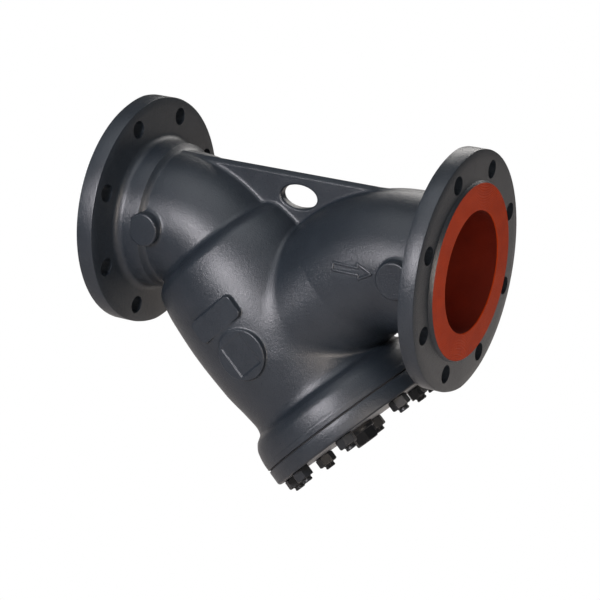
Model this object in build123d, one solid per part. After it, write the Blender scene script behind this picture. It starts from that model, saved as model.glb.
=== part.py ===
from build123d import *
from math import cos, radians, sin, sqrt, tan
import os

# Millimetres. The pipe axis is X, the flow runs towards +X, and the origin is the centre of the
# inlet flange's raised face. The barrel points down and downstream from the pipe axis.

# Pipe flanges
FACE_TO_FACE = 400.0
BORE_D = 125.0
FLANGE_D = 250.0
FLANGE_T = 26.0
FLANGE_DRAFT = 1.5
FLANGE_EDGE = 1.5
RAISED_LAND = 14.5
RAISED_H = 3.0
RAISED_BEVEL = 2.0
BOLT_EDGE = 20.0
BOLT_HOLE_D = 19.0
BOLT_COUNT = 8

# Pipe walls
INLET_WALL = 11.5
OUTLET_WALL = 12.5
HUB_WALL = 19.0
HUB_L = 19.0
HUB_TAPER = 0.5
HUB_STEP = 4.0
HUB_FILLET = 9.0
INLET_BEND_R = 82.0
OUTLET_BEND_R = 100.0
CHAMBER_EXTRA_W = 8.0
CHAMBER_EXTRA_S = 1.5
CHAMBER_WALL = 10.0

# Barrel. "S" values run along its axis from the point where the axis leaves the pipe axis.
LEG_ANGLE = 45.0
LEG_X = 88.0
OUTLET_S = 147.0
SHOULDER_S = 29.0
SHOULDER_R = 15.5
BARREL_ROOM = 14.7
BARREL_WALL = 10.5
BELLY_S = 117.0
BELLY_R = 503.0
JOINT_S = 257.0
COLLAR_T = 30.0
COLLAR_RISE = 8.0
COLLAR_DRAFT = 2.9
COLLAR_ROUND = 8.0
COLLAR_COVE = 10.0
COLLAR_EDGE = 6.0
NECK_L = 10.0
ROOM_BEVEL = 6.0
MOUTH_GAP = 6.5
STUD_LAND = 12.5
STUD_EDGE = 14.5

# Screen and its seat
SEAT_LAND = 7.5
SCREEN_SHEET = 1.5
LINER_T = 0.6
RING_H = 9.0
RING_T = 3.0
SEAT_S = 50.0
SEAT_DEPTH = 9.5
SCREEN_GAP = 0.3
SLEEVE_GAP = 0.05
PERF_D = 13.0
PERF_PITCH = 25.0
PERF_PER_ROW = 12

# Cover, its seal and its fasteners
GASKET_T = 1.5
GASKET_INSET = 2.0
COVER_T = 17.0
COVER_ROUND = 3.0
SPIGOT_H = 6.0
SPIGOT_GAP = 0.5
STUD_COUNT = 8
STUD_D = 12.0
STUD_GRIP = 19.0
STUD_END = 4.7
STUD_TIP = 1.2
STUD_HOLE_D = 14.0
THREAD_GAP = 0.05
NUT_AF = 19.0
NUT_H = 10.8

# Drain plug
PLUG_THREAD_D = 26.4
PLUG_THREAD_L = 14.0
PLUG_COLLAR_D = 32.0
PLUG_COLLAR_H = 4.0
PLUG_HEX_AF = 24.0
PLUG_HEX_H = 12.0
PLUG_SEAL_T = 2.0

# Web between the pipe bends, with its lifting eye
WEB_T = 12.0
WEB_Z = 71.5
WEB_GABLE = 3.3
EYE_X = 203.5
EYE_Z = 46.0
EYE_W = 43.0
EYE_H = 25.5
EYE_ROUND = 3.0

# Bosses on the front
TAP_IN_X = 61.5
TAP_IN_D = 33.0
TAP_OUT_X = 352.5
TAP_OUT_D = 38.0
TAP_Z = 3.0
TAP_PROUD = 9.0
PAD_D = 55.0
PAD_PROUD = 1.2
PAD_SQUARE = 37.0
PAD_SINK = 0.8

# How far a cutting tool runs past the faces that it cuts
PAST = 1.0

# Worked out from the sizes above
bore_r = BORE_D / 2
bolt_circle_r = FLANGE_D / 2 - BOLT_EDGE
raised_r = bolt_circle_r - RAISED_LAND
inlet_r = bore_r + INLET_WALL
outlet_r = bore_r + OUTLET_WALL
leg_cos = cos(radians(LEG_ANGLE))
leg_sin = sin(radians(LEG_ANGLE))
leg = Plane(origin=(LEG_X, 0, 0), x_dir=(0, 1, 0), z_dir=(leg_cos, 0, -leg_sin))
outlet_corner_x = LEG_X + 2 * OUTLET_S * leg_cos
cover_top_s = JOINT_S + GASKET_T
cover_face_s = cover_top_s + COVER_T
screen_start_s = SEAT_S + SCREEN_GAP
screen_end_s = cover_top_s - SCREEN_GAP
screen_length = screen_end_s - screen_start_s
screen_r = bore_r + SEAT_LAND
pocket_r = screen_r + SCREEN_GAP
sheet_r = screen_r - RING_T
cavity_r = screen_r + BARREL_ROOM
barrel_r = cavity_r + BARREL_WALL
mouth_r = screen_r + MOUTH_GAP
stud_circle_r = mouth_r + STUD_LAND
collar_r = stud_circle_r + STUD_EDGE
neck_s = JOINT_S - COLLAR_T - COLLAR_RISE - NECK_L
half_step = 180 / STUD_COUNT


def turned(points):
    """A solid turned about the local Z axis from straight runs through (radius, height) points."""
    outline = Plane.XZ * make_face(Polyline(*points, close=True))
    return revolve(outline, Axis.Z)


def ring(outer_r, inner_r, low, high):
    """A plain ring about the local Z axis."""
    return turned([(inner_r, low), (outer_r, low), (outer_r, high), (inner_r, high)])


def disc(radius, low, high):
    """A plain disc about the local Z axis."""
    return Pos(0, 0, low) * Cylinder(radius, high - low, align=(Align.CENTER, Align.CENTER, Align.MIN))


def leg_point(s, across=0.0):
    """A point in the mid plane: s along the barrel's axis and across towards the outlet."""
    return (LEG_X + s * leg_cos + across * leg_sin, 0, -s * leg_sin + across * leg_cos)


def pipe_flange():
    """One pipe flange with its raised face at x = 0, its rim drafted both ways from the mid plane."""
    outer_r = FLANGE_D / 2
    profile = Polyline(
        (0, 0),
        (0, raised_r),
        (RAISED_H, raised_r + RAISED_BEVEL),
        (RAISED_H, outer_r - FLANGE_EDGE),
        (RAISED_H + FLANGE_EDGE, outer_r),
        (FLANGE_T + FLANGE_DRAFT - FLANGE_EDGE, outer_r),
        (FLANGE_T + FLANGE_DRAFT, outer_r - FLANGE_EDGE),
        (FLANGE_T + FLANGE_DRAFT, 0),
        close=True,
    )
    plate = revolve(make_face(profile), Axis.X)
    wedge = Polyline(
        (-PAST, -outer_r),
        (-PAST, outer_r),
        (FLANGE_T, outer_r),
        (FLANGE_T + FLANGE_DRAFT, 0),
        (FLANGE_T, -outer_r),
        close=True,
    )
    return plate & extrude(make_face(wedge), outer_r, both=True)


def inlet_hub():
    """The thick collar behind the inlet flange, coved into the flange and bevelled to the bend."""
    hub_r = bore_r + HUB_WALL
    start = FLANGE_T - PAST
    band_end = FLANGE_T + HUB_L
    outline = [
        Line((start, 0), (start, hub_r + HUB_FILLET)),
        Line((start, hub_r + HUB_FILLET), (FLANGE_T, hub_r + HUB_FILLET)),
        RadiusArc((FLANGE_T, hub_r + HUB_FILLET), (FLANGE_T + HUB_FILLET, hub_r), HUB_FILLET),
        Line((FLANGE_T + HUB_FILLET, hub_r), (band_end, hub_r - HUB_TAPER)),
        Line((band_end, hub_r - HUB_TAPER), (band_end + HUB_STEP, inlet_r)),
        Line((band_end + HUB_STEP, inlet_r), (band_end + HUB_STEP, 0)),
        Line((band_end + HUB_STEP, 0), (start, 0)),
    ]
    return revolve(make_face(outline), Axis.X)


def outlet_cove():
    """The cove between the outlet bend and its flange, seen from the outlet face."""
    start = FLANGE_T - PAST
    outline = [
        Line((start, 0), (start, outlet_r + HUB_FILLET)),
        Line((start, outlet_r + HUB_FILLET), (FLANGE_T, outlet_r + HUB_FILLET)),
        RadiusArc((FLANGE_T, outlet_r + HUB_FILLET), (FLANGE_T + HUB_FILLET, outlet_r), HUB_FILLET),
        Line((FLANGE_T + HUB_FILLET, outlet_r), (FLANGE_T + HUB_FILLET, 0)),
        Line((FLANGE_T + HUB_FILLET, 0), (start, 0)),
    ]
    return revolve(make_face(outline), Axis.X)


def barrel_outer_r(s):
    """The barrel's outer radius at s, on the long arc of its belly."""
    return barrel_r - BELLY_R + sqrt(BELLY_R**2 - (s - BELLY_S) ** 2)


def inlet_bend(radius, end_s, start_x=0.0):
    """The inlet pipe, from the flange round into the barrel's axis."""
    tangent = INLET_BEND_R * tan(radians(LEG_ANGLE / 2))
    bend_x = LEG_X - tangent
    straight = Pos(start_x, 0, 0) * Rot(0, 90, 0) * disc(radius, 0, bend_x - start_x)
    section = leg * Pos(0, 0, tangent) * Circle(radius)
    bend = revolve(section, Axis((bend_x, 0, -INLET_BEND_R), (0, -1, 0)), LEG_ANGLE)
    return straight + bend + leg * disc(radius, tangent, end_s)


def outlet_section(across, half_width, half_length):
    """An oval section of the outlet chamber, square to its axis."""
    middle = leg_point(OUTLET_S, across)
    plane = Plane(origin=middle, x_dir=(0, 1, 0), z_dir=(leg_sin, 0, leg_cos))
    return plane * Ellipse(half_width, half_length)


def outlet_bend(pipe_r, extra_w, extra_s, start_across, end_x):
    """The outlet pipe: an oval chamber that rises from the barrel and turns along the pipe axis."""
    tangent = OUTLET_BEND_R * tan(radians(LEG_ANGLE / 2))
    bend_across = OUTLET_S * tan(radians(LEG_ANGLE)) - tangent
    low = outlet_section(start_across, pipe_r + extra_w, pipe_r + extra_s)
    high = outlet_section(bend_across, pipe_r, pipe_r)
    chamber = loft([low.face(), high.face()], ruled=True)
    bend_end = outlet_corner_x + tangent
    section = outlet_section(bend_across, pipe_r, pipe_r)
    bend = revolve(section, Axis((bend_end, 0, -OUTLET_BEND_R), (0, 1, 0)), LEG_ANGLE)
    straight = Pos(bend_end, 0, 0) * Rot(0, 90, 0) * disc(pipe_r, 0, end_x - bend_end)
    return chamber + bend + straight


def barrel():
    """The slanted barrel with its shoulder, its belly and the collar that takes the cover."""
    shoulder_end = SHOULDER_S + SHOULDER_R
    start_r = barrel_outer_r(shoulder_end)
    collar_start = JOINT_S - COLLAR_T
    neck_r = barrel_outer_r(neck_s)
    neck_slope = (neck_s - BELLY_S) / BELLY_R
    outline = [
        Line((0, SHOULDER_S), (start_r - SHOULDER_R, SHOULDER_S)),
        RadiusArc((start_r - SHOULDER_R, SHOULDER_S), (start_r, shoulder_end), -SHOULDER_R),
        ThreePointArc((start_r, shoulder_end), (barrel_r, BELLY_S), (neck_r, neck_s)),
        FilletPolyline(
            (neck_r, neck_s),
            (neck_r - NECK_L * neck_slope, neck_s + NECK_L),
            (collar_r - COLLAR_DRAFT, collar_start),
            (collar_r, JOINT_S - COLLAR_EDGE),
            radius=[COLLAR_COVE, COLLAR_ROUND],
        ),
        Line((collar_r, JOINT_S - COLLAR_EDGE), (collar_r, JOINT_S)),
        Line((collar_r, JOINT_S), (0, JOINT_S)),
        Line((0, JOINT_S), (0, SHOULDER_S)),
    ]
    return leg * revolve(Plane.XZ * make_face(outline), Axis.Z)


def barrel_cavity():
    """The room round the screen, its mouth for the cover and the seat for the screen's top ring."""
    room_start = SEAT_S + SEAT_DEPTH
    start_r = barrel_outer_r(room_start) - BARREL_WALL
    room = turned([
        (0, SEAT_S),
        (pocket_r, SEAT_S),
        (pocket_r, room_start),
        (start_r - ROOM_BEVEL, room_start),
        (start_r, room_start + ROOM_BEVEL),
        (cavity_r, BELLY_S),
        (barrel_outer_r(neck_s) - BARREL_WALL, neck_s),
        (mouth_r, neck_s + ROOM_BEVEL),
        (mouth_r, JOINT_S + PAST),
        (0, JOINT_S + PAST),
    ])
    return leg * room


def stud_places(s):
    """Where the studs stand, at s along the barrel's axis."""
    return [
        leg * Rot(0, 0, half_step + k * 360 / STUD_COUNT) * Pos(stud_circle_r, 0, s)
        for k in range(STUD_COUNT)
    ]


def drill(places, radius, low, high):
    """Round holes, each at its place, between two heights along the local Z axis."""
    tool = disc(radius, low, high)
    return [place * tool for place in places]


def bolt_holes():
    """The pipe bolts' holes through both flanges, none of them on the vertical."""
    holes = []
    for k in range(BOLT_COUNT):
        turn = 180 / BOLT_COUNT + k * 360 / BOLT_COUNT
        rod = Rot(0, 90, 0) * disc(BOLT_HOLE_D / 2, -PAST, FLANGE_T + FLANGE_DRAFT + PAST)
        rod = Pos(0, 0, bolt_circle_r) * rod
        hole = Rot(turn, 0, 0) * rod
        holes += [hole, Pos(FACE_TO_FACE, 0, 0) * mirror(hole, Plane.YZ)]
    return holes


def web():
    """The upright web that ties the two pipe bends, gabled along its top, with the lifting eye."""
    low_z = -OUTLET_S * leg_sin / 2
    half_t = WEB_T / 2
    section = Plane.YZ * make_face(Polyline(
        (-half_t, low_z),
        (-half_t, WEB_Z - WEB_GABLE),
        (0, WEB_Z),
        (half_t, WEB_Z - WEB_GABLE),
        (half_t, low_z),
        close=True,
    ))
    plate = Pos(FLANGE_T, 0, 0) * extrude(section, FACE_TO_FACE - 2 * FLANGE_T)
    eye = Pos(EYE_X, 0, EYE_Z) * (Plane.XZ * Ellipse(EYE_W / 2, EYE_H / 2))
    plate -= extrude(eye, WEB_T, both=True)
    rims = plate.edges().filter_by(GeomType.LINE, reverse=True)
    return fillet(rims, EYE_ROUND)


def front_boss(x, diameter, z, pipe_r):
    """A flat round boss on the front of a pipe, for a pressure tap."""
    face_y = pipe_r + TAP_PROUD
    return Pos(x, -face_y, z) * Rot(-90, 0, 0) * disc(diameter / 2, 0, face_y - bore_r / 2)


def barrel_pad():
    """The bare round pad on the front of the barrel, with a shallow square flat in it."""
    face_y = barrel_outer_r(OUTLET_S) + PAD_PROUD
    front = leg * Pos(-face_y, 0, OUTLET_S) * Rot(0, 90, 0)
    pad = front * disc(PAD_D / 2, 0, face_y - cavity_r)
    square = front * Pos(0, 0, PAD_SINK / 2) * Box(PAD_SQUARE, PAD_SQUARE, PAD_SINK)
    return pad, square


def strainer_body():
    """The whole casting, with its flow path, its seat and all its holes."""
    flange = pipe_flange()
    solid = flange + inlet_hub() + inlet_bend(inlet_r, SHOULDER_S + SHOULDER_R, FLANGE_T / 2)
    solid += barrel()
    chamber_start = cavity_r / 2
    outlet_end = FACE_TO_FACE - FLANGE_T / 2
    solid += outlet_bend(outlet_r, CHAMBER_EXTRA_W, CHAMBER_EXTRA_S, chamber_start, outlet_end)
    solid += Pos(FACE_TO_FACE, 0, 0) * mirror(flange + outlet_cove(), Plane.YZ)
    solid += web()
    solid += front_boss(TAP_IN_X, TAP_IN_D, TAP_Z, inlet_r)
    solid += front_boss(TAP_OUT_X, TAP_OUT_D, TAP_Z, outlet_r)
    pad, square = barrel_pad()
    solid += pad
    solid -= square
    solid -= inlet_bend(bore_r, SEAT_S + PAST, -PAST)
    solid -= barrel_cavity()
    thinner = OUTLET_WALL - CHAMBER_WALL
    room_w = CHAMBER_EXTRA_W + thinner
    room_s = CHAMBER_EXTRA_S + thinner
    solid -= outlet_bend(bore_r, room_w, room_s, chamber_start, FACE_TO_FACE + PAST)
    solid -= bolt_holes()
    solid -= drill(stud_places(JOINT_S), STUD_D / 2 + THREAD_GAP, -STUD_GRIP - STUD_TIP, PAST)
    return solid


def cover_gasket():
    """The flat seal under the whole joint face, with a hole for each stud."""
    outer_r = collar_r - GASKET_INSET
    seal = leg * ring(outer_r, mouth_r, JOINT_S, cover_top_s)
    return seal - drill(stud_places(JOINT_S), STUD_HOLE_D / 2, -PAST, GASKET_T + PAST)


def cover():
    """The round cover with its centring spigot, stud holes and tapped drain hole."""
    spigot_r = mouth_r - SPIGOT_GAP
    spigot_s = cover_top_s - SPIGOT_H
    round_s = cover_face_s - COVER_ROUND
    round_r = collar_r - COVER_ROUND
    outline = [
        Line((0, cover_top_s), (pocket_r, cover_top_s)),
        Line((pocket_r, cover_top_s), (pocket_r, spigot_s)),
        Line((pocket_r, spigot_s), (spigot_r, spigot_s)),
        Line((spigot_r, spigot_s), (spigot_r, cover_top_s)),
        Line((spigot_r, cover_top_s), (collar_r, cover_top_s)),
        Line((collar_r, cover_top_s), (collar_r, round_s)),
        RadiusArc((collar_r, round_s), (round_r, cover_face_s), -COVER_ROUND),
        Line((round_r, cover_face_s), (0, cover_face_s)),
        Line((0, cover_face_s), (0, cover_top_s)),
    ]
    plate = leg * revolve(Plane.XZ * make_face(outline), Axis.Z)
    plate -= drill(stud_places(cover_top_s), STUD_HOLE_D / 2, -PAST, COVER_T + PAST)
    drain_r = PLUG_THREAD_D / 2 + THREAD_GAP
    return plate - leg * disc(drain_r, cover_top_s - PAST, cover_face_s + PAST)


def stud():
    """One stud on the local Z axis, measured along the barrel, with a bevelled tip."""
    low = JOINT_S - STUD_GRIP
    high = cover_face_s + NUT_H + STUD_END
    r = STUD_D / 2
    return turned([
        (0, low),
        (r - STUD_TIP, low),
        (r, low + STUD_TIP),
        (r, high - STUD_TIP),
        (r - STUD_TIP, high),
        (0, high),
    ])


def hexagon(across_flats, low, high):
    """A plain hexagon bar end on the local Z axis."""
    return extrude(Pos(0, 0, low) * RegularPolygon(across_flats / sqrt(3), 6), high - low)


def nut():
    """One hexagon nut on the local Z axis, standing on the cover's face."""
    low = cover_face_s + THREAD_GAP
    high = low + NUT_H
    return hexagon(NUT_AF, low, high) - disc(STUD_D / 2 + THREAD_GAP, low - PAST, high + PAST)


def drain_plug():
    """The plug: a threaded stem in the cover, a round collar and a hexagon."""
    seat = cover_face_s + PLUG_SEAL_T
    stem = disc(PLUG_THREAD_D / 2, seat - PLUG_THREAD_L - PLUG_SEAL_T, seat)
    collar = disc(PLUG_COLLAR_D / 2, seat, seat + PLUG_COLLAR_H)
    head_s = seat + PLUG_COLLAR_H
    head = hexagon(PLUG_HEX_AF, head_s, head_s + PLUG_HEX_H)
    return leg * (stem + collar + head)


def drain_plug_gasket():
    """The flat ring under the plug's collar."""
    inner_r = PLUG_THREAD_D / 2 + THREAD_GAP
    return leg * ring(PLUG_COLLAR_D / 2, inner_r, cover_face_s, cover_face_s + PLUG_SEAL_T)


def screen_tube():
    """The perforated sheet cylinder, its six-sided holes in staggered rows."""
    tube = ring(sheet_r, sheet_r - SCREEN_SHEET, screen_start_s, screen_end_s)
    free = screen_length - 2 * RING_H - PERF_D
    rows = int(free // PERF_PITCH) + 1
    first = (screen_start_s + screen_end_s - (rows - 1) * PERF_PITCH) / 2
    step = 360 / PERF_PER_ROW
    punch = Rot(0, 90, 0) * extrude(RegularPolygon(PERF_D / 2, 6), sheet_r + PAST)
    holes = [
        Pos(0, 0, first + row * PERF_PITCH) * Rot(0, 0, (col + row % 2 / 2) * step) * punch
        for row in range(rows)
        for col in range(PERF_PER_ROW)
    ]
    return leg * (tube - holes)


def screen_liner():
    """The fine mesh that lines the perforated sheet, as one thin sleeve."""
    outer_r = sheet_r - SCREEN_SHEET - SLEEVE_GAP
    return leg * ring(outer_r, outer_r - LINER_T, screen_start_s, screen_end_s)


def screen_ring(low):
    """One rim ring round the outside of the perforated sheet."""
    return leg * ring(screen_r, sheet_r + SLEEVE_GAP, low, low + RING_H)


def parts():
    """Every sub-part by name."""
    made = {
        "strainer_body": strainer_body(),
        "cover": cover(),
        "cover_gasket": cover_gasket(),
        "drain_plug": drain_plug(),
        "drain_plug_gasket": drain_plug_gasket(),
        "screen_tube": screen_tube(),
        "screen_liner": screen_liner(),
        "screen_top_ring": screen_ring(screen_start_s),
        "screen_bottom_ring": screen_ring(screen_end_s - RING_H),
    }
    one_stud = stud()
    one_nut = nut()
    for k, place in enumerate(stud_places(0)):
        made[f"cover_stud_{k + 1}"] = place * one_stud
        made[f"cover_nut_{k + 1}"] = place * one_nut
    return made


os.makedirs("parts", exist_ok=True)
for name, shape in parts().items():
    export_step(shape, f"parts/{name}.step")
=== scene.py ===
import math

import bmesh
import bpy
import numpy as np
import openvdb
from mathutils import Matrix, Vector
from mathutils.bvhtree import BVHTree


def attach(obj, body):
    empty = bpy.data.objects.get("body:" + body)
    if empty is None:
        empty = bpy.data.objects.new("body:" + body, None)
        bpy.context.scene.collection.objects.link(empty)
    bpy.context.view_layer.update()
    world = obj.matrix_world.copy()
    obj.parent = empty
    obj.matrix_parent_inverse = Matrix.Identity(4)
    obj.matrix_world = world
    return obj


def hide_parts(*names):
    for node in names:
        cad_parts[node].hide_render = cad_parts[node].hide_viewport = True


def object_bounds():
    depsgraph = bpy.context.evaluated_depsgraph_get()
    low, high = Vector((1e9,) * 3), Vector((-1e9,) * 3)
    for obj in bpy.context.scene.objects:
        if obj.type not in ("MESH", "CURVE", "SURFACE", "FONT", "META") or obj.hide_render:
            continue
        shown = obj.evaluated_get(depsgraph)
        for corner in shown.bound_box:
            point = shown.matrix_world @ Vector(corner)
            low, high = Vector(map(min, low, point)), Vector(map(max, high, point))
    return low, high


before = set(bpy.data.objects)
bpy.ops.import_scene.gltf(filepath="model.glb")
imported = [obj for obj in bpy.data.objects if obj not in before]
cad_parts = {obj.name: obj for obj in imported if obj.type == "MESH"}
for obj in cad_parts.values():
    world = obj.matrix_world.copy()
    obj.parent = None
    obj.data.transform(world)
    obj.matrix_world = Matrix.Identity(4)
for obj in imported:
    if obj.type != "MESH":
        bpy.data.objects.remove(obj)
cad_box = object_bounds()

# Sizes are in millimetres in the frame's axes until a mesh is made. The barrel's axis leaves the pipe
# axis at LEG_X and runs down and downstream at 45 degrees; "s" runs along it and "across" towards
# the outlet.
MM = 0.001
COS = math.sqrt(0.5)
LEG_X = 88.0
OUTLET_S = 147.0
FACE_TO_FACE = 400.0

FLANGE_R = 125.0
RIM_DROP = 0.85
RIM_FRONT = {"inlet": 5.4, "outlet": 3.4}
RIM_BACK = {"inlet": 26.6, "outlet": 23.4}
FLANGE_DRAFT = 1.5
FLANGE_FACE_DRAFT = 1.6
RAISED_R = 90.5
RAISED_H = 3.0
RAISED_BEVEL = 2.0
BORE_R = 62.5
BOLT_CIRCLE_R = 105.0
BOLT_HOLE_R = 9.5
BOLTS = 8
HUB_R = 81.5
HUB_END = 52.5
HUB_BEVEL = 7.0
OUTLET_STUB = 44.0
INLET_R = 74.0
OUTLET_R = 75.0
INLET_BEND_R = 82.0
OUTLET_BEND_R = 100.0
COVE_R = {"inlet": 8.0, "outlet": 12.0}
TOP_SQUEEZE = 0.045

JOINT_S = 257.0
COLLAR_R = 103.5
MOUTH_R = 76.5
STUD_CIRCLE_R = 89.0
STUD_R = 6.0
STUDS = 8
STUD_LOW_S = 238.0
STUD_END_S = 291.0
THREAD_PITCH = 1.75
THREAD_DEPTH = 0.6
COVER_TOP_S = 258.5
COVER_FACE_S = 275.5
SPIGOT_S = 252.5
SCREEN_POCKET_R = 70.3
NUT_LOW_S = 275.55
NUT_H = 10.8
NUT_AF = 19.0
PLUG_THREAD_R = 13.2
PLUG_COLLAR_R = 16.0
PLUG_SEAT_S = 277.5
PLUG_COLLAR_H = 4.0
PLUG_HEX_AF = 24.0
PLUG_HEX_H = 12.0

SHEET_R = 67.0
SHEET_T = 1.5
SHEET_LOW_S = 50.3
SHEET_HIGH_S = 258.2
HOLE_D = 5.0
HOLES_ROUND = 44
HOLE_ROWS = 20

# Marks cast on the front: a bare plate, a round pad with a square flat, and the arrow for the flow
PLATE_S = 102.0
PLATE_HALF_S = 13.0
PLATE_HALF_W = 30.0
PLATE_CORNER = 6.0
PLATE_Y = 95.9
PAD_R = 27.5
PAD_Y = 95.7
SQUARE_HALF_S = 18.5
SQUARE_HALF_W = 15.0
SQUARE_SINK = 0.9
ARROW_TAIL_X = 281.0
ARROW_NECK_X = 310.0
ARROW_TIP_X = 325.0
ARROW_Z = 3.0
ARROW_SHAFT_HALF = 3.6
ARROW_HEAD_HALF = 7.6
ARROW_BEAD_R = 1.0
ARROW_LIFT = 0.2

VOXEL = 1.3


# Mesh making


def leg_matrix(turn=0.0, off_axis=0.0):
    """The frame of the barrel's axis: X to +Y, Y across towards the outlet, Z along the axis."""
    basis = Matrix(((0, COS, COS, LEG_X), (1, 0, 0, 0), (0, COS, -COS, 0), (0, 0, 0, 1)))
    return basis @ Matrix.Rotation(math.radians(turn), 4, "Z") @ Matrix.Translation((off_axis, 0, 0))


PIPE = Matrix(((0, 0, 1, 0), (1, 0, 0, 0), (0, 1, 0, 0), (0, 0, 0, 1)))


def new_piece(name, points, faces, materials, face_materials=None):
    """A mesh object from points in millimetres."""
    mesh = bpy.data.meshes.new(name)
    mesh.from_pydata([tuple(p) for p in np.asarray(points, float) * MM], [], faces)
    for material in materials:
        mesh.materials.append(material)
    if face_materials is not None:
        mesh.polygons.foreach_set("material_index", face_materials)
    mesh.validate()
    piece = bpy.data.objects.new(name, mesh)
    bpy.context.collection.objects.link(piece)
    return piece


def shade(piece, angle=32.0):
    """Smooth shading with edges kept sharp past an angle."""
    mesh = piece.data
    mesh.polygons.foreach_set("use_smooth", [True] * len(mesh.polygons))
    limit = math.radians(angle)
    work = bmesh.new()
    work.from_mesh(mesh)
    for edge in work.edges:
        edge.smooth = len(edge.link_faces) == 2 and edge.calc_face_angle(0.0) < limit
    work.to_mesh(mesh)
    work.free()
    return piece


def apply_modifiers(piece):
    """Replaces the piece's mesh by what its modifiers make of it."""
    made = bpy.data.meshes.new_from_object(piece.evaluated_get(bpy.context.evaluated_depsgraph_get()))
    old = piece.data
    piece.modifiers.clear()
    piece.data = made
    bpy.data.meshes.remove(old)
    return piece


def turned(name, profile, place, materials, band_materials=None, steps=160, ripple=None):
    """A closed solid turned from a closed (radius, height) outline that stays off the axis."""
    count = len(profile)
    points, faces, used = [], [], []
    for step in range(steps):
        a = 2 * math.pi * step / steps
        for r, h in profile:
            local = (r * math.cos(a), r * math.sin(a), h)
            points.append(place @ Vector(local if ripple is None else ripple(*local)))
    for step in range(steps):
        here, there = step * count, (step + 1) % steps * count
        for k in range(count):
            j = (k + 1) % count
            faces.append((here + k, there + k, there + j, here + j))
            used.append(0 if band_materials is None else band_materials[k])
    return new_piece(name, points, faces, materials, used)


def capped(name, profile, place, materials, steps=48, band_materials=None, ripple=None):
    """A solid turned from an open (radius, height) outline that starts and ends on the axis."""
    points, faces, used = [], [], []
    rings = profile[1:-1]
    for r, h in rings:
        for step in range(steps):
            a = 2 * math.pi * step / steps
            local = (r * math.cos(a), r * math.sin(a), h)
            points.append(place @ Vector(local if ripple is None else ripple(*local)))
    for k in range(len(rings) - 1):
        for step in range(steps):
            nxt = (step + 1) % steps
            faces.append((k * steps + step, k * steps + nxt, (k + 1) * steps + nxt, (k + 1) * steps + step))
            used.append(0 if band_materials is None else band_materials[k])
    faces.append(tuple(reversed(range(steps))))
    faces.append(tuple((len(rings) - 1) * steps + i for i in range(steps)))
    used += [used[0], used[-1]]
    return new_piece(name, points, faces, materials, used)


def outward(piece):
    """Turns all faces outwards."""
    work = bmesh.new()
    work.from_mesh(piece.data)
    bmesh.ops.recalc_face_normals(work, faces=work.faces)
    work.to_mesh(piece.data)
    work.free()
    return piece


def bore_out(piece, places, radius, low, high, materials):
    """Cuts round holes along the local Z axis of each place."""
    for k, place in enumerate(places):
        rod = capped(f"{piece.name}_drill", [(0, low), (radius, low), (radius, high), (0, high)],
                     place, materials, steps=40)
        outward(rod)
        cut = piece.modifiers.new(f"hole_{k}", "BOOLEAN")
        cut.operation, cut.solver, cut.object = "DIFFERENCE", "EXACT", rod
        apply_modifiers(piece)
        bpy.data.objects.remove(rod)
    return piece


# Distance fields of the casting, in arrays


def leg_coordinates(x, y, z):
    """Along, across and radial distance about the barrel's axis."""
    s = (x - LEG_X - z) * COS
    across = (x - LEG_X + z) * COS
    return s, across, np.hypot(across, y)


def blend(a, b, size):
    """Union of two fields with a fillet of about size."""
    h = np.maximum(size - np.abs(a - b), 0.0) / size
    return np.minimum(a, b) - h * h * size / 4


def round_and(a, b, radius):
    """Intersection of two fields with a rounded edge."""
    u = np.maximum(a + radius, 0.0)
    v = np.maximum(b + radius, 0.0)
    return np.minimum(np.maximum(a, b), -radius) + np.hypot(u, v)


def curve_through(values, stations, at):
    """A smooth curve through a few stations, with no overshoot between them."""
    t = np.asarray(stations, float)
    v = np.asarray(values, float)
    slope = np.diff(v) / np.diff(t)
    tangent = np.zeros_like(v)
    same = slope[:-1] * slope[1:] > 0
    tangent[1:-1][same] = 2 * slope[:-1][same] * slope[1:][same] / (slope[:-1] + slope[1:])[same]
    tangent[0], tangent[-1] = slope[0], slope[-1]
    k = np.clip(np.searchsorted(t, at) - 1, 0, len(t) - 2)
    width = t[k + 1] - t[k]
    u = np.clip((at - t[k]) / width, 0.0, 1.0)
    start = (1 + 2 * u) * (1 - u) ** 2 * v[k] + u * (1 - u) ** 2 * width * tangent[k]
    end = u * u * (3 - 2 * u) * v[k + 1] + u * u * (u - 1) * width * tangent[k + 1]
    return start + end


BARREL_S = (29.0, 45.0, 70.0, 115.0, 165.0, 197.0, 213.0, 220.0, 227.0, 236.0, 250.0, 262.0)
BARREL_R = (84.0, 89.2, 93.2, 95.2, 93.0, 88.5, 86.9, 88.2, 96.5, 101.4, 103.4, 103.45)


def low_top(off, y, squeeze):
    """Distance from a pipe's centre line, with the top side squeezed a little flatter."""
    return np.hypot(np.where(off > 0, off * (1 + squeeze), off), y)


def pipe_inlet(x, y, z, radius, squeeze=0.0):
    """The inlet pipe: straight, then round the bend onto the barrel's axis."""
    start = LEG_X - INLET_BEND_R * math.tan(math.radians(22.5))
    s, _, rho = leg_coordinates(x, y, z)
    straight = np.where(x <= start, low_top(z, y, squeeze), 1e3)
    u, w = x - start, z + INLET_BEND_R
    angle = np.arctan2(w, u)
    turned_in = np.clip(4 * angle / math.pi - 1, 0.0, 1.0)
    bend = np.where((angle >= math.pi / 4) & (angle <= math.pi / 2),
                    low_top(np.hypot(u, w) - INLET_BEND_R, y, squeeze * turned_in), 1e3)
    along = np.where(s >= INLET_BEND_R * math.tan(math.radians(22.5)), rho, 1e3)
    return np.minimum(np.minimum(straight, bend), along) - radius


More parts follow.
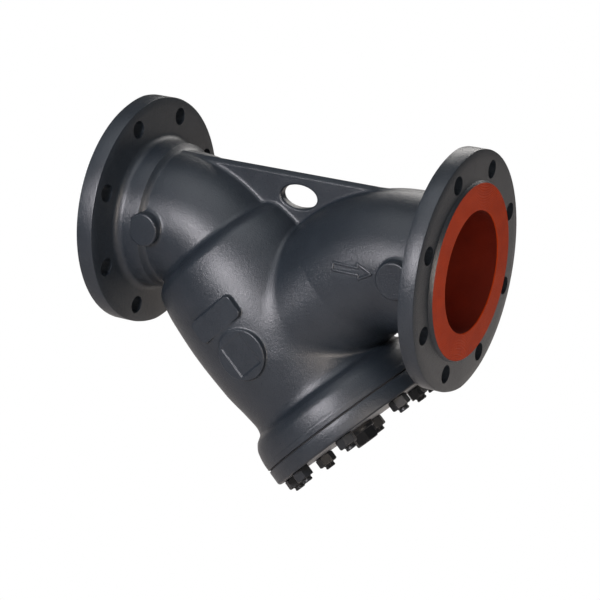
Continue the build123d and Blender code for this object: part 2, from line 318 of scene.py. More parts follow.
def pipe_outlet(x, y, z, radius, extra_w, extra_s, squeeze=0.0, low_across=42.0):
    """The outlet pipe: an oval chamber on the barrel that turns along the pipe axis."""
    corner = LEG_X + 2 * OUTLET_S * COS
    tangent = OUTLET_BEND_R * math.tan(math.radians(22.5))
    s, across, _ = leg_coordinates(x, y, z)
    high_across = OUTLET_S - tangent
    share = np.clip((high_across - across) / (high_across - low_across), 0.0, 1.2)
    half_s = radius + extra_s * share
    half_w = radius + extra_w * share
    oval = np.hypot((s - OUTLET_S), y * half_s / half_w) - half_s
    chamber = np.where(across <= high_across, np.maximum(oval, 30.0 - across), 1e3)
    u, w = x - (corner + tangent), z + OUTLET_BEND_R
    angle = np.arctan2(w, u)
    turned_out = np.clip(3 - 4 * angle / math.pi, 0.0, 1.0)
    bend = np.where((angle >= math.pi / 2) & (angle <= 0.76 * math.pi) & (across > high_across),
                    low_top(np.hypot(u, w) - OUTLET_BEND_R, y, squeeze * turned_out) - radius, 1e3)
    straight = np.where(x >= corner + tangent, low_top(z, y, squeeze) - radius, 1e3)
    return np.minimum(np.minimum(chamber, bend), straight)


def web_plate(x, y, z):
    """The web with its gabled top edge and the lifting eye."""
    gable = z + 0.55 * np.abs(y) - np.interp(x, (70.0, 300.0), (70.9, 70.2))
    plate = round_and(np.abs(y) - 6.0, gable, 1.0)
    plate = np.maximum(plate, np.maximum(56.0 - x, x - 345.0))
    return round_and(np.maximum(plate, -60.0 - z), -eye(x, z), 3.2)


def eye(x, z):
    """The oval of the lifting eye."""
    half_w, half_h = 20.6, 11.9
    u, w = (x - 202.6) / half_w, (z - 45.6) / half_h
    return (np.hypot(u, w) - 1) / np.maximum(np.hypot(u / half_w, w / half_h), 1e-6) * np.hypot(u, w)


def rounded_rectangle(u, v, half_u, half_v, corner):
    """Distance to a rectangle with rounded corners."""
    du, dv = np.abs(u) - half_u + corner, np.abs(v) - half_v + corner
    return np.hypot(np.maximum(du, 0), np.maximum(dv, 0)) + np.minimum(np.maximum(du, dv), 0) - corner


def front_disc(x, y, z, centre_x, centre_z, radius, face, edge):
    """A flat round boss on the front, its face square to Y."""
    rim = np.hypot(x - centre_x, z - centre_z) - radius
    return round_and(round_and(rim, -y - face, edge), y + 50.0, edge)


def casting_field(x, y, z):
    """The middle of the casting, solid where negative, and the field of its flow path."""
    s, across, rho = leg_coordinates(x, y, z)
    inlet = pipe_inlet(x, y, z, INLET_R, TOP_SQUEEZE)
    radius = curve_through(BARREL_R, BARREL_S, s)
    wall = rho - radius
    barrel = round_and(wall * 0.93, 29.0 - s, 14.0 + np.clip(y, 0.0, 20.0))
    outlet = pipe_outlet(x, y, z, OUTLET_R, 8.0, 1.5, TOP_SQUEEZE)
    body = blend(inlet, barrel, 6.0)
    body = blend(body, outlet, 5.0)
    body = blend(body, web_plate(x, y, z), 4.0)
    body = round_and(body, -np.maximum(eye(x, z), np.abs(y) - 34.0), 2.0)
    body = blend(body, front_disc(x, y, z, 60.4, 3.2, 17.5, 83.0, 1.2), 4.0)
    body = blend(body, front_disc(x, y, z, 352.5, 3.0, 19.0, 84.0, 1.2), 4.0)
    plate = rounded_rectangle(s - PLATE_S, across, PLATE_HALF_S, PLATE_HALF_W, PLATE_CORNER)
    plate = np.maximum(round_and(plate, -y - PLATE_Y, 0.8), y + 60.0)
    pad = np.maximum(round_and(np.hypot(s - OUTLET_S, across) - PAD_R, -y - PAD_Y, 1.2), y + 60.0)
    square = rounded_rectangle(s - OUTLET_S, across, SQUARE_HALF_S, SQUARE_HALF_W, 0.8)
    pad = np.maximum(pad, -np.maximum(square, y + PAD_Y - SQUARE_SINK))
    body = blend(body, plate, 1.6)
    body = blend(body, pad, 1.6)
    inner_inlet = np.maximum(pipe_inlet(x, y, z, BORE_R + 0.1), s - 52.0)
    seat = np.maximum(rho - 70.3, np.abs(s - 56.0) - 6.0)
    room_r = np.interp(s, (59.5, 65.5, 115.0, 214.0, 220.0, 262.0), (73.5, 79.5, 84.7, 76.5, 76.6, 76.6))
    room = np.maximum(rho - room_r, 59.5 - s)
    outflow = pipe_outlet(x, y, z, BORE_R + 0.1, 10.5, 4.0)
    flow = np.minimum(np.minimum(inner_inlet, seat), np.minimum(room, outflow))
    solid = np.maximum(body, -flow)
    solid = np.maximum(solid, np.maximum(HUB_END - 6.0 - x, x - 362.0))
    solid = np.maximum(solid, s - (JOINT_S - 4.0))
    return solid, flow


def field_mesh(low, high, size):
    """Points, quads and triangles of the casting's surface inside a box."""
    axes = [np.arange(low[k], high[k] + size, size) for k in range(3)]
    x, y, z = np.meshgrid(*axes, indexing="ij")
    solid, _ = casting_field(x, y, z)
    grid = openvdb.FloatGrid(4 * size)
    grid.copyFromArray(np.clip(solid, -3 * size, 3 * size).astype(np.float64))
    points, triangles, quads = grid.convertToPolygons(0.0, 0.0)
    return points * size + np.array(low), triangles, quads


def settle(points, rounds=3):
    """Moves points onto the field's surface along its gradient."""
    step = 0.2
    for _ in range(rounds):
        x, y, z = points.T
        value = casting_field(x, y, z)[0]
        slope = np.stack([
            casting_field(x + step, y, z)[0] - casting_field(x - step, y, z)[0],
            casting_field(x, y + step, z)[0] - casting_field(x, y - step, z)[0],
            casting_field(x, y, z + step)[0] - casting_field(x, y, z - step)[0],
        ], 1) / (2 * step)
        length = np.maximum((slope ** 2).sum(1), 0.3)
        move = np.clip(value / length, -0.5, 0.5)[:, None] * slope
        points = points - 0.8 * move
    return points


# Materials


def start_material(name, colour, roughness, metallic=0.0):
    """A principled material and what is needed to add nodes to it."""
    material = bpy.data.materials.new(name)
    material.use_nodes = True
    nodes, links = material.node_tree.nodes, material.node_tree.links
    shader = nodes["Principled BSDF"]
    shader.inputs["Base Color"].default_value = (*colour, 1)
    shader.inputs["Roughness"].default_value = roughness
    shader.inputs["Metallic"].default_value = metallic
    return material, nodes, links, shader


def noise(nodes, links, coordinates, scale, detail=3.0, roughness=0.55):
    """A noise texture on the object's own coordinates."""
    node = nodes.new("ShaderNodeTexNoise")
    node.inputs["Scale"].default_value = scale
    node.inputs["Detail"].default_value = detail
    node.inputs["Roughness"].default_value = roughness
    links.new(coordinates, node.inputs["Vector"])
    return node.outputs["Fac"]


def remap(nodes, links, value, low, high, to_low, to_high):
    """A value stretched from one range to another, held at its ends."""
    node = nodes.new("ShaderNodeMapRange")
    for socket, number in zip(("From Min", "From Max", "To Min", "To Max"), (low, high, to_low, to_high)):
        node.inputs[socket].default_value = number
    links.new(value, node.inputs["Value"])
    return node.outputs["Result"]


def mixed(nodes, links, factor, first, second):
    """A colour between two colours."""
    node = nodes.new("ShaderNodeMix")
    node.data_type = "RGBA"
    node.inputs[6].default_value = (*first, 1)
    node.inputs[7].default_value = (*second, 1)
    links.new(factor, node.inputs["Factor"])
    return node.outputs[2]


def bump(nodes, links, height, distance, strength=1.0, normal=None):
    """A bump of the given height in metres, on top of another if there is one."""
    node = nodes.new("ShaderNodeBump")
    node.inputs["Distance"].default_value = distance
    node.inputs["Strength"].default_value = strength
    links.new(height, node.inputs["Height"])
    if normal is not None:
        links.new(normal, node.inputs["Normal"])
    return node.outputs["Normal"]


def paint_material(name, dark, light, roughness, skin, fine):
    """Glossy paint over a cast skin: orange peel, fine sand and a little change of colour."""
    material, nodes, links, shader = start_material(name, dark, roughness)
    where = nodes.new("ShaderNodeTexCoord").outputs["Object"]
    mottled = noise(nodes, links, where, 38.0, 4.0)
    links.new(mixed(nodes, links, remap(nodes, links, mottled, 0.3, 0.7, 0.0, 1.0), dark, light),
              shader.inputs["Base Color"])
    speck = noise(nodes, links, where, 900.0, 2.0)
    links.new(remap(nodes, links, speck, 0.3, 0.7, roughness - 0.05, roughness + 0.07),
              shader.inputs["Roughness"])
    peel = bump(nodes, links, noise(nodes, links, where, 260.0, 2.0), skin)
    sand = bump(nodes, links, noise(nodes, links, where, 640.0, 4.0, 0.7), fine, 1.0, peel)
    links.new(sand, shader.inputs["Normal"])
    shader.inputs["Specular IOR Level"].default_value = 0.5 if roughness < 0.5 else 0.25
    shader.inputs["Coat Weight"].default_value = 0.15 if roughness < 0.4 else 0.0
    shader.inputs["Coat Roughness"].default_value = 0.35
    return material


def primer_material(name, pitch, colour, deep, roughness):
    """Primer on a turned face: fine rings about the axis, and slight wear of the colour."""
    material, nodes, links, shader = start_material(name, colour, roughness)
    shader.inputs["Specular IOR Level"].default_value = 0.06
    where = nodes.new("ShaderNodeTexCoord").outputs["Object"]
    cloud = noise(nodes, links, where, 60.0, 5.0)
    links.new(mixed(nodes, links, remap(nodes, links, cloud, 0.35, 0.7, 0.0, 1.0), deep, colour),
              shader.inputs["Base Color"])
    split = nodes.new("ShaderNodeSeparateXYZ")
    links.new(where, split.inputs[0])
    flat = nodes.new("ShaderNodeCombineXYZ")
    links.new(split.outputs["Y"], flat.inputs["Y"])
    links.new(split.outputs["Z"], flat.inputs["Z"])
    radius = nodes.new("ShaderNodeVectorMath")
    radius.operation = "LENGTH"
    links.new(flat.outputs[0], radius.inputs[0])
    turns = nodes.new("ShaderNodeMath")
    turns.operation = "MULTIPLY"
    turns.inputs[1].default_value = 2 * math.pi / pitch
    links.new(radius.outputs["Value"], turns.inputs[0])
    wave = nodes.new("ShaderNodeMath")
    wave.operation = "SINE"
    links.new(turns.outputs[0], wave.inputs[0])
    grooves = bump(nodes, links, wave.outputs[0], 0.00014)
    skin = bump(nodes, links, noise(nodes, links, where, 300.0, 3.0), 0.0001, 1.0, grooves)
    links.new(skin, shader.inputs["Normal"])
    return material


def seal_material(name):
    """Matt black sheet with a slight fibre."""
    material, nodes, links, shader = start_material(name, (0.012, 0.012, 0.013), 0.75)
    where = nodes.new("ShaderNodeTexCoord").outputs["Object"]
    fibre = noise(nodes, links, where, 900.0, 4.0, 0.7)
    links.new(mixed(nodes, links, remap(nodes, links, fibre, 0.35, 0.65, 0.0, 1.0),
                    (0.008, 0.008, 0.009), (0.022, 0.022, 0.024)), shader.inputs["Base Color"])
    links.new(bump(nodes, links, fibre, 0.0002), shader.inputs["Normal"])
    return material


def steel_material(name, colour, roughness, stretch):
    """Bare stainless steel with fine marks drawn out across the barrel's axis."""
    material, nodes, links, shader = start_material(name, colour, roughness, 1.0)
    where = nodes.new("ShaderNodeTexCoord").outputs["Object"]
    drawn = nodes.new("ShaderNodeMapping")
    drawn.inputs["Rotation"].default_value = (0, math.radians(45), 0)
    drawn.inputs["Scale"].default_value = stretch
    links.new(where, drawn.inputs["Vector"])
    marks = noise(nodes, links, drawn.outputs["Vector"], 300.0, 4.0, 0.65)
    links.new(remap(nodes, links, marks, 0.3, 0.7, roughness - 0.08, roughness + 0.1),
              shader.inputs["Roughness"])
    cloud = noise(nodes, links, where, 40.0, 3.0)
    links.new(mixed(nodes, links, cloud, [c * 0.82 for c in colour], colour),
              shader.inputs["Base Color"])
    links.new(bump(nodes, links, marks, 0.00004), shader.inputs["Normal"])
    return material


def arithmetic(nodes, links, operation, first, second):
    """One step of arithmetic on two values, either of them a plain number."""
    node = nodes.new("ShaderNodeMath")
    node.operation = operation
    for socket, value in zip(node.inputs, (first, second)):
        if isinstance(value, (int, float)):
            socket.default_value = value
        else:
            links.new(value, socket)
    return node.outputs[0]


def woven_material(name, colour, pitch):
    """Plain-woven stainless wire cloth, laid round the barrel's axis, with painted shade where the weave is low.
    """
    material, nodes, links, shader = start_material(name, colour, 0.38, 1.0)
    split = nodes.new("ShaderNodeSeparateXYZ")
    links.new(nodes.new("ShaderNodeTexCoord").outputs["Object"], split.inputs[0])
    x, y, z = (split.outputs[k] for k in range(3))
    from_leg = arithmetic(nodes, links, "SUBTRACT", x, LEG_X * MM)
    along = arithmetic(nodes, links, "MULTIPLY", arithmetic(nodes, links, "SUBTRACT", from_leg, z), COS)
    across = arithmetic(nodes, links, "MULTIPLY", arithmetic(nodes, links, "ADD", from_leg, z), COS)
    round_turn = arithmetic(nodes, links, "ARCTAN2", across, y)
    turns = 2 * round(math.pi * SHEET_R * MM / pitch)
    warp = arithmetic(nodes, links, "SINE", arithmetic(nodes, links, "MULTIPLY", round_turn, turns / 2), 0.0)
    weft = arithmetic(nodes, links, "SINE", arithmetic(nodes, links, "MULTIPLY", along, math.pi / pitch), 0.0)
    weave_and_painted_shade = arithmetic(nodes, links, "MULTIPLY", warp, weft)
    # The colour is darker where the weave is low: painted shade in the hollows between the wires.
    links.new(mixed(nodes, links, remap(nodes, links, weave_and_painted_shade, -1.0, 1.0, 0.0, 1.0),
                    [c * 0.45 for c in colour], colour), shader.inputs["Base Color"])
    links.new(bump(nodes, links, weave_and_painted_shade, 0.0002), shader.inputs["Normal"])
    return material


paint = paint_material("casting_paint", (0.0105, 0.0145, 0.0200), (0.0145, 0.0195, 0.0260), 0.32, 0.00020, 0.00036)
bolt_paint = paint_material("bolt_paint", (0.0070, 0.0085, 0.0105), (0.010, 0.012, 0.015), 0.42, 0.0001, 0.00008)
primer = primer_material("face_primer", 0.0016, (0.355, 0.0320, 0.0015), (0.29, 0.0240, 0.0010), 0.40)
bore_primer = paint_material("bore_primer", (0.090, 0.0050, 0.0005), (0.120, 0.0070, 0.0007), 0.60, 0.0003, 0.0002)
seal = seal_material("seal")
sheet_steel = steel_material("screen_sheet", (0.52, 0.52, 0.51), 0.32, (1.0, 1.0, 14.0))
mesh_steel = woven_material("screen_mesh", (0.46, 0.46, 0.45), 0.0012)


# The casting


def flange_ripple(x, y, z):
    """The flange's rim, peaked where the mould parts at the mid plane; y is up and x is across."""
    r = math.hypot(x, y)
    if z < 6.5 and r > RAISED_R + 1.0:
        z += FLANGE_FACE_DRAFT * abs(x) / FLANGE_R
    if r > 100.0:
        drop = RIM_DROP * (1 + min(1.0, abs(x) / 30.0)) * (r - 100.0) / 25.0
        x, y = x * (1 - drop / r), y * (1 - drop / r)
    if z > 20.0 and r > HUB_R + 1.0:
        z -= FLANGE_DRAFT * abs(x) / FLANGE_R * min(1.0, (r - HUB_R) / 8.0)
    if z > 24.0 and y > 0.0 and BORE_R + 5.0 < r < 98.0:
        y *= 1 - TOP_SQUEEZE * min(1.0, (98.0 - r) / 10.0)
    return x, y, z


def cove(radius, start, size, steps=7):
    """Points of a hollow fillet from the flange's back down to a pipe of the given radius."""
    turns = [math.pi / 2 * k / steps for k in range(steps + 1)]
    return [(radius + size * (1 - math.sin(a)), start + size * (1 - math.cos(a))) for a in turns]


def flange_piece(side, place):
    """One pipe flange: raised face, bevel, rim with rounded edges, cove and pipe stub or hub."""
    front, back = RIM_FRONT[side], RIM_BACK[side]
    outline = [(BORE_R, 0.8), (BORE_R + 0.8, 0.0)]
    kinds = [1, 1]
    for k in range(1, 8):
        outline.append((BORE_R + 0.8 + k * (RAISED_R - BORE_R - 1.1) / 7, 0.0))
        kinds.append(1)
    outline += [(RAISED_R, 0.25), (RAISED_R + RAISED_BEVEL, RAISED_H)]
    kinds += [0, 0]
    outline += [(100.0, max(RAISED_H, front - 1.2)), (114.0, max(RAISED_H, front - 0.6)),
                (FLANGE_R - 1.3, front), (FLANGE_R - 0.35, front + 0.4), (FLANGE_R, front + 1.3)]
    outline += [(FLANGE_R, back - 1.3), (FLANGE_R - 0.35, back - 0.4), (FLANGE_R - 1.3, back),
                (114.0, back + 0.4), (100.0, back + 0.9)]
    if side == "inlet":
        outline += cove(HUB_R, back + 1.2, COVE_R[side])
        outline += [(HUB_R - 0.6, HUB_END - 6.0), (HUB_R - 1.3, HUB_END), (HUB_R - 2.6, HUB_END + 1.0),
                    (INLET_R + 2.4, HUB_END + 2.6), (INLET_R + 0.7, HUB_END + 4.6),
                    (INLET_R - 0.6, HUB_END + HUB_BEVEL), (BORE_R, HUB_END)]
    else:
        outline += cove(OUTLET_R + 0.1, back + 1.2, COVE_R[side])
        outline += [(OUTLET_R + 0.1, OUTLET_STUB - 2.0), (OUTLET_R + 0.1, OUTLET_STUB), (BORE_R, OUTLET_STUB)]
    kinds += [0] * (len(outline) - len(kinds) - 1) + [2]
    piece = turned(f"{side}_flange", outline, place, [paint, primer, bore_primer], kinds, 192, flange_ripple)
    outward(piece)
    turns = [180 / BOLTS + k * 360 / BOLTS for k in range(BOLTS)]
    holes = [place @ Matrix.Rotation(math.radians(t), 4, "Z") @ Matrix.Translation((BOLT_CIRCLE_R, 0, 0))
             for t in turns]
    bore_out(piece, holes, BOLT_HOLE_R, -2.0, 34.0, [paint])
    shade(piece, 30.0)
    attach(piece, "casting")
    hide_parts("strainer_body")
    return piece


inlet_flange = flange_piece("inlet", PIPE)
OUTLET = Matrix.Translation((FACE_TO_FACE, 0, 0)) @ Matrix.Rotation(math.pi, 4, "Z") @ PIPE
outlet_flange = flange_piece("outlet", OUTLET)


def casting_piece():
    """The casting between the flanges, from its field, with the flow path in primer."""
    points, triangles, quads = field_mesh((42.0, -102.0, -262.0), (364.0, 102.0, 92.0), VOXEL)
    points = settle(points)
    faces = [tuple(int(i) for i in f) for f in triangles] + [tuple(int(i) for i in f) for f in quads]
    centres = np.array([points[list(f)].mean(0) for f in faces])
    x, y, z = centres.T
    solid_side, flow = casting_field(x, y, z)
    inside = (np.abs(flow) < 0.9).astype(int)
    piece = new_piece("casting", points, faces, [paint, bore_primer], inside.tolist())
    outward(piece)
    shade(piece, 50.0)
    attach(piece, "casting")
    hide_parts("strainer_body")
    return piece


casting = casting_piece()


def collar_piece():
    """The collar's rim and joint face, with the mouth and the stud holes."""
    outline = [(MOUTH_R, 240.0), (MOUTH_R, JOINT_S - 0.8), (MOUTH_R + 0.8, JOINT_S),
               (COLLAR_R - 0.8, JOINT_S), (COLLAR_R, JOINT_S - 0.8), (COLLAR_R, JOINT_S - 5.0),
               (COLLAR_R, 250.0), (COLLAR_R - 0.4, 249.2), (101.0, 248.2), (90.0, 240.0)]
    kinds = [2] + [0] * (len(outline) - 1)
    piece = turned("cover_collar", outline, leg_matrix(), [paint, primer, bore_primer], kinds, 160)
    outward(piece)
    bore_out(piece, stud_frames(), STUD_R + 0.05, 236.0, 262.0, [paint])
    shade(piece)
    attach(piece, "casting")
    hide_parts("strainer_body")
    return piece


def stud_frames():
    """Where the studs stand."""
    return [leg_matrix(180 / STUDS + k * 360 / STUDS, STUD_CIRCLE_R) for k in range(STUDS)]


collar = collar_piece()


def seated(piece, body, node, angle=32.0):
    """Shades a piece that takes a node's place and puts it on its body."""
    outward(piece)
    shade(piece, angle)
    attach(piece, body)
    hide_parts(node)
    return piece


def flow_arrow():
    """The arrow on the outlet bend that shows the flow, a raised outline cast on the front."""
    corners = [(ARROW_TAIL_X, -ARROW_SHAFT_HALF), (ARROW_NECK_X, -ARROW_SHAFT_HALF),
               (ARROW_NECK_X + 1.5, -ARROW_HEAD_HALF), (ARROW_TIP_X, 0.0),
               (ARROW_NECK_X - 1.5, ARROW_HEAD_HALF), (ARROW_NECK_X, ARROW_SHAFT_HALF),
               (ARROW_TAIL_X, ARROW_SHAFT_HALF)]
    skin = BVHTree.FromObject(casting, bpy.context.evaluated_depsgraph_get())
    track = []
    for (x0, z0), (x1, z1) in zip(corners, corners[1:] + corners[:1]):
        count = max(2, round(math.hypot(x1 - x0, z1 - z0) / 0.8))
        track += [(x0 + (x1 - x0) * k / count, z0 + (z1 - z0) * k / count) for k in range(count)]
    centres, normals = [], []
    for x, z in track:
        spot, normal, _, _ = skin.ray_cast(Vector((x, -120.0, z + ARROW_Z)) * MM, Vector((0, 1, 0)))
        centres.append(spot / MM + normal * ARROW_LIFT)
        normals.append(normal)
    points, faces, sides, total = [], [], 8, len(centres)
    for k, centre in enumerate(centres):
        run = (centres[(k + 1) % total] - centres[k - 1]).normalized()
        across = run.cross(normals[k]).normalized()
        for side in range(sides):
            a = 2 * math.pi * side / sides
            lift = ARROW_BEAD_R * math.sin(a)
            points.append(centre + across * (1.6 * ARROW_BEAD_R * math.cos(a)) + normals[k] * lift)
    for k in range(total):
        here, there = k * sides, (k + 1) % total * sides
        for side in range(sides):
            nxt = (side + 1) % sides
            faces.append((here + side, here + nxt, there + nxt, there + side))
    return seated(new_piece("flow_arrow", points, faces, [paint]), "casting", "strainer_body",
                  70.0)


def cover_piece():
    """The bolted cover: spigot, recess for the screen, rounded rim, stud holes and drain hole."""
    outer, rim = COLLAR_R, 3.0
    outline = [(PLUG_THREAD_R + 0.05, COVER_TOP_S + 0.6), (PLUG_THREAD_R + 0.65, COVER_TOP_S),
               (SCREEN_POCKET_R, COVER_TOP_S), (SCREEN_POCKET_R, SPIGOT_S + 0.5),
               (SCREEN_POCKET_R + 0.5, SPIGOT_S), (MOUTH_R - 1.3, SPIGOT_S),
               (MOUTH_R - 0.5, SPIGOT_S + 0.8), (MOUTH_R - 0.5, COVER_TOP_S),
               (outer - 0.9, COVER_TOP_S), (outer - 0.25, COVER_TOP_S + 0.25), (outer, COVER_TOP_S + 0.9),
               (outer, COVER_TOP_S + 7.0), (outer, COVER_FACE_S - rim)]
    outline += [(outer - rim + rim * math.cos(a), COVER_FACE_S - rim + rim * math.sin(a))
                for a in (math.radians(d) for d in (15, 30, 45, 60, 75, 90))]
    outline += [(PLUG_COLLAR_R + 6.0, COVER_FACE_S), (PLUG_THREAD_R + 0.65, COVER_FACE_S),
                (PLUG_THREAD_R + 0.05, COVER_FACE_S - 0.6)]
    piece = turned("cover_plate", outline, leg_matrix(), [paint], None, 176)
    outward(piece)
    bore_out(piece, stud_frames(), STUD_R + 1.0, 250.0, 280.0, [paint])
    return seated(piece, "cover_set", "cover")


def hexagon_limit(across_flats, low, high, inside=1e3):
    """Draws points in to a hexagon with bevelled corners, apart from those past the inside radius."""
    flat = across_flats / 2

    def limit(x, y, z):
        r = math.hypot(x, y)
        if z < low or r > inside or r < 0.75 * flat:
            return x, y, z
        a = math.degrees(math.atan2(y, x)) % 60 - 30
        allowed = min(flat / math.cos(math.radians(a)), 0.97 * flat + 1.73 * min(z - low, high - z))
        return (x * allowed / r, y * allowed / r, z) if r > allowed else (x, y, z)

    return limit


def thread(radius, low, high):
    """Ridges of a thread between two heights, as (radius, height) points."""
    count = int((high - low) / THREAD_PITCH)
    points = []
    for k in range(count):
        start = low + k * THREAD_PITCH
        points += [(radius, start + 0.1), (radius, start + 0.35),
                   (radius - THREAD_DEPTH, start + 0.9), (radius - THREAD_DEPTH, start + 1.2)]
    return points


def cover_stud(k, place):
    """One stud with its thread and bevelled tip."""
    tip = THREAD_DEPTH + 0.5
    outline = [(0, STUD_LOW_S), (STUD_R - tip, STUD_LOW_S), (STUD_R, STUD_LOW_S + tip)]
    outline += thread(STUD_R, STUD_LOW_S + tip + 0.2, STUD_END_S - tip - 0.1)
    outline += [(STUD_R - 0.1, STUD_END_S - tip), (STUD_R - tip, STUD_END_S - 0.1), (0, STUD_END_S - 0.1)]
    piece = capped(f"stud_{k}", outline, place, [bolt_paint], 32)
    return seated(piece, "casting", f"cover_stud_{k}", 40.0)


def cover_nut(k, place):
    """One hexagon nut with bevelled corners on both sides."""
    corner, top = NUT_AF / math.sqrt(3), NUT_LOW_S + NUT_H
    steps = (0.15, 0.35, 0.6, 0.9, 1.3)
    outline = [(STUD_R + 0.65, NUT_LOW_S), (0.97 * NUT_AF / 2, NUT_LOW_S)]
    outline += [(corner, NUT_LOW_S + d) for d in steps]
    outline += [(corner, top - d) for d in reversed(steps)]
    outline += [(0.97 * NUT_AF / 2, top), (STUD_R + 0.65, top), (STUD_R + 0.05, top - 0.6),
                (STUD_R + 0.05, NUT_LOW_S + 0.6)]
    piece = turned(f"nut_{k}_body", outline, place, [bolt_paint], None, 60,
                   hexagon_limit(NUT_AF, NUT_LOW_S, top))
    return seated(piece, f"nut_{k}", f"cover_nut_{k}", 24.0)


def drain_plug():
    """The drain plug: threaded stem, round collar and a hexagon with bevelled corners."""
    low, seat = PLUG_SEAT_S - 16.0, PLUG_SEAT_S
    hexagon, top = seat + PLUG_COLLAR_H, seat + PLUG_COLLAR_H + PLUG_HEX_H
    corner = PLUG_HEX_AF / math.sqrt(3)
    steps = (0.2, 0.45, 0.8, 1.2, 1.6)
    outline = [(0, low), (PLUG_THREAD_R - 1.2, low), (PLUG_THREAD_R, low + 1.2)]
    outline += thread(PLUG_THREAD_R, low + 1.4, seat - 0.4)
    outline += [(PLUG_THREAD_R - 0.3, seat), (PLUG_COLLAR_R - 0.4, seat), (PLUG_COLLAR_R, seat + 0.4),
                (PLUG_COLLAR_R, hexagon - 0.7), (PLUG_COLLAR_R - 0.6, hexagon - 0.05),
                (corner, hexagon), (corner, hexagon + 0.1)]
    outline += [(corner, top - d) for d in reversed(steps)]
    outline += [(0.97 * PLUG_HEX_AF / 2, top), (7.0, top), (0, top)]
    limit = hexagon_limit(PLUG_HEX_AF, hexagon - 6.0, top, PLUG_COLLAR_R - 0.7)
    piece = capped("drain_plug_body", outline, leg_matrix(15.0), [bolt_paint], 72, None,
                   lambda x, y, z: limit(x, y, z) if z >= hexagon - 0.01 else (x, y, z))
    return seated(piece, "plug", "drain_plug", 24.0)


def perforated_sheet():
    """The screen's sheet cylinder with its staggered round holes, open right through."""
    sides = 12
    step = 2 * math.pi / HOLES_ROUND
    low, high = SHEET_LOW_S + 12.0, SHEET_HIGH_S - 12.0
    height = (high - low) / HOLE_ROWS
    points, faces = [], []

    def point(radius, angle, s):
        points.append(leg_matrix() @ Vector((radius * math.cos(angle), radius * math.sin(angle), s)))
        return len(points) - 1

    for row in range(HOLE_ROWS):
        s = low + (row + 0.5) * height
        for col in range(HOLES_ROUND):
            a = (col + row % 2 / 2) * step
            inner, outer = [], []
            for side in range(sides):
                turn = 2 * math.pi * side / sides
                c, w = math.cos(turn), math.sin(turn)
                edge = 1 / max(abs(c), abs(w))
                near = (a + c * HOLE_D / 2 / SHEET_R, s + w * HOLE_D / 2)
                far = (a + c * edge * step / 2, s + w * edge * height / 2)
                outer.append([point(SHEET_R, *near), point(SHEET_R, *far)])
                inner.append([point(SHEET_R - SHEET_T, *near), point(SHEET_R - SHEET_T, *far)])
            for side in range(sides):
                nxt = (side + 1) % sides
                faces.append((outer[side][0], outer[side][1], outer[nxt][1], outer[nxt][0]))
                faces.append((inner[side][1], inner[side][0], inner[nxt][0], inner[nxt][1]))
                faces.append((outer[nxt][0], inner[nxt][0], inner[side][0], outer[side][0]))
    for start, end in ((SHEET_LOW_S, low), (high, SHEET_HIGH_S)):
        for col in range(4 * HOLES_ROUND):
            a, b = col * step / 4, (col + 1) * step / 4
            for radius in (SHEET_R, SHEET_R - SHEET_T):
                faces.append((point(radius, a, start), point(radius, b, start),
                              point(radius, b, end), point(radius, a, end)))
            for s in (start, end):
                if s in (SHEET_LOW_S, SHEET_HIGH_S):
                    faces.append((point(SHEET_R, a, s), point(SHEET_R, b, s),
                                  point(SHEET_R - SHEET_T, b, s), point(SHEET_R - SHEET_T, a, s)))
    piece = new_piece("perforated_sheet", points, faces, [sheet_steel])
    work = bmesh.new()
    work.from_mesh(piece.data)
    bmesh.ops.remove_doubles(work, verts=work.verts, dist=0.02 * MM)
    work.to_mesh(piece.data)
    work.free()
    return seated(piece, "screen", "screen_tube")


flow_arrow()
cover_piece()
drain_plug()
perforated_sheet()
for k, place in enumerate(stud_frames()):
    cover_stud(k + 1, place)
    cover_nut(k + 1, place)

for node, material in (("cover_gasket", seal), ("drain_plug_gasket", seal), ("screen_liner", mesh_steel),
                       ("screen_top_ring", sheet_steel), ("screen_bottom_ring", sheet_steel)):
    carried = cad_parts[node]
    carried.data.materials.clear()
    carried.data.materials.append(material)


# Floor, lights and camera


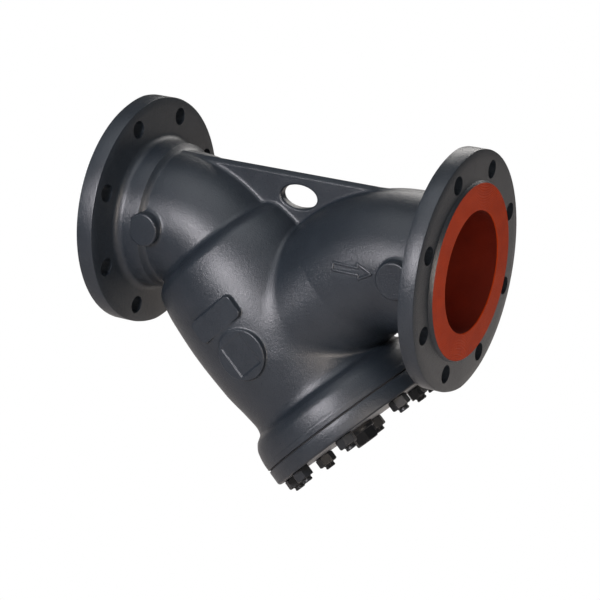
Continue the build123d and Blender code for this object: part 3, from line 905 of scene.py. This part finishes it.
def studio_floor():
    """A large pale floor, below the drawn cover's lowest place, white to the camera and clear from below; to other
    rays it is painted darker in front and lighter and glowing behind, as painted shade and a painted pool of
    light.
    """
    low = cad_box[0][2] - 0.26
    mesh = bpy.data.meshes.new("floor")
    mesh.from_pydata([(-6, -6, low), (6, -6, low), (6, 6, low), (-6, 6, low)], [], [(0, 1, 2, 3)])
    floor = bpy.data.objects.new("floor", mesh)
    bpy.context.collection.objects.link(floor)
    material = bpy.data.materials.new("floor_white")
    material.use_nodes = True
    nodes, links = material.node_tree.nodes, material.node_tree.links
    nodes.clear()
    path = nodes.new("ShaderNodeLightPath")
    seen = nodes.new("ShaderNodeMath")
    seen.operation = "MAXIMUM"
    links.new(path.outputs["Is Camera Ray"], seen.inputs[0])
    links.new(path.outputs["Is Transmission Ray"], seen.inputs[1])
    place = nodes.new("ShaderNodeSeparateXYZ")
    links.new(nodes.new("ShaderNodeTexCoord").outputs["Object"], place.inputs[0])
    # Painted shade and light: the floor's colour runs from dark in front of the object to light behind it.
    painted_light_behind = remap(nodes, links, place.outputs["Y"], 0.09, 0.80, 0.0, 1.0)
    diffuse = nodes.new("ShaderNodeBsdfDiffuse")
    links.new(mixed(nodes, links, painted_light_behind, (0.46, 0.44, 0.43), (0.92, 0.88, 0.84)), diffuse.inputs["Color"])
    glow = nodes.new("ShaderNodeEmission")
    glow.inputs["Strength"].default_value = 1.0
    # Painted light: a warm glow on the floor further behind, though the floor is no lamp.
    lit = nodes.new("ShaderNodeEmission")
    lit.inputs["Color"].default_value = (1.0, 0.90, 0.86, 1)
    links.new(remap(nodes, links, place.outputs["Y"], 0.53, 1.50, 0.0, 0.20), lit.inputs["Strength"])
    both = nodes.new("ShaderNodeAddShader")
    links.new(diffuse.outputs[0], both.inputs[0])
    links.new(lit.outputs[0], both.inputs[1])
    mix = nodes.new("ShaderNodeMixShader")
    links.new(seen.outputs[0], mix.inputs["Fac"])
    links.new(both.outputs[0], mix.inputs[1])
    links.new(glow.outputs[0], mix.inputs[2])
    sided = nodes.new("ShaderNodeMixShader")
    links.new(nodes.new("ShaderNodeNewGeometry").outputs["Backfacing"], sided.inputs["Fac"])
    links.new(mix.outputs[0], sided.inputs[1])
    links.new(nodes.new("ShaderNodeBsdfTransparent").outputs[0], sided.inputs[2])
    links.new(sided.outputs[0], nodes.new("ShaderNodeOutputMaterial").inputs["Surface"])
    mesh.materials.append(material)


def studio_world():
    """A pale room that the camera sees as plain white."""
    world = bpy.data.worlds.new("room")
    bpy.context.scene.world = world
    world.use_nodes = True
    nodes, links = world.node_tree.nodes, world.node_tree.links
    background = nodes["Background"]
    path = nodes.new("ShaderNodeLightPath")
    level = nodes.new("ShaderNodeMapRange")
    level.inputs["To Min"].default_value = 0.11
    level.inputs["To Max"].default_value = 1.0
    links.new(path.outputs["Is Camera Ray"], level.inputs["Value"])
    links.new(level.outputs["Result"], background.inputs["Strength"])
    background.inputs["Color"].default_value = (1, 1, 1, 1)


def soft_box(name, place, aim, size, power, colour):
    """A rectangular soft light at a place, turned to a point."""
    light = bpy.data.lights.new(name, "AREA")
    light.shape = "RECTANGLE"
    light.size, light.size_y = size
    light.energy = power
    light.color = colour
    lamp = bpy.data.objects.new(name, light)
    lamp.location = place
    lamp.rotation_euler = (Vector(aim) - Vector(place)).to_track_quat("-Z", "Y").to_euler()
    bpy.context.collection.objects.link(lamp)


def camera():
    """The photograph's viewpoint, found from the bolt holes of both flanges."""
    view = bpy.data.objects.new("camera", bpy.data.cameras.new("camera"))
    right, up, back = (0.87160, 0.48865, 0.03911), (-0.18714, 0.25794, 0.94786), (0.45309, -0.83348, 0.31627)
    turn = Matrix((right, up, back)).transposed()
    view.matrix_world = Matrix.Translation((1.10718, -1.65734, 0.56149)) @ turn.to_4x4()
    view.data.sensor_width = 36.0
    view.data.lens = 113.15
    bpy.context.collection.objects.link(view)
    bpy.context.scene.camera = view


studio_floor()
studio_world()
soft_box("key", (0.04, -1.60, 0.56), (0.2, 0, -0.03), (0.50, 0.56), 30.0, (0.98, 0.95, 1.0))
soft_box("side", (1.58, -1.05, 0.20), (0.2, 0, -0.03), (0.30, 0.90), 17.0, (1.0, 0.88, 0.78))
soft_box("top", (0.15, -0.45, 1.45), (0.2, 0, -0.03), (1.5, 1.2), 8.5, (0.95, 0.97, 1.0))
soft_box("painted_light_behind", (0.0, 1.5, 0.75), (0.2, 0, -0.03), (1.2, 0.6), 9.0, (1.0, 0.97, 0.94))
camera()
bpy.context.scene.view_settings.view_transform = "Standard"
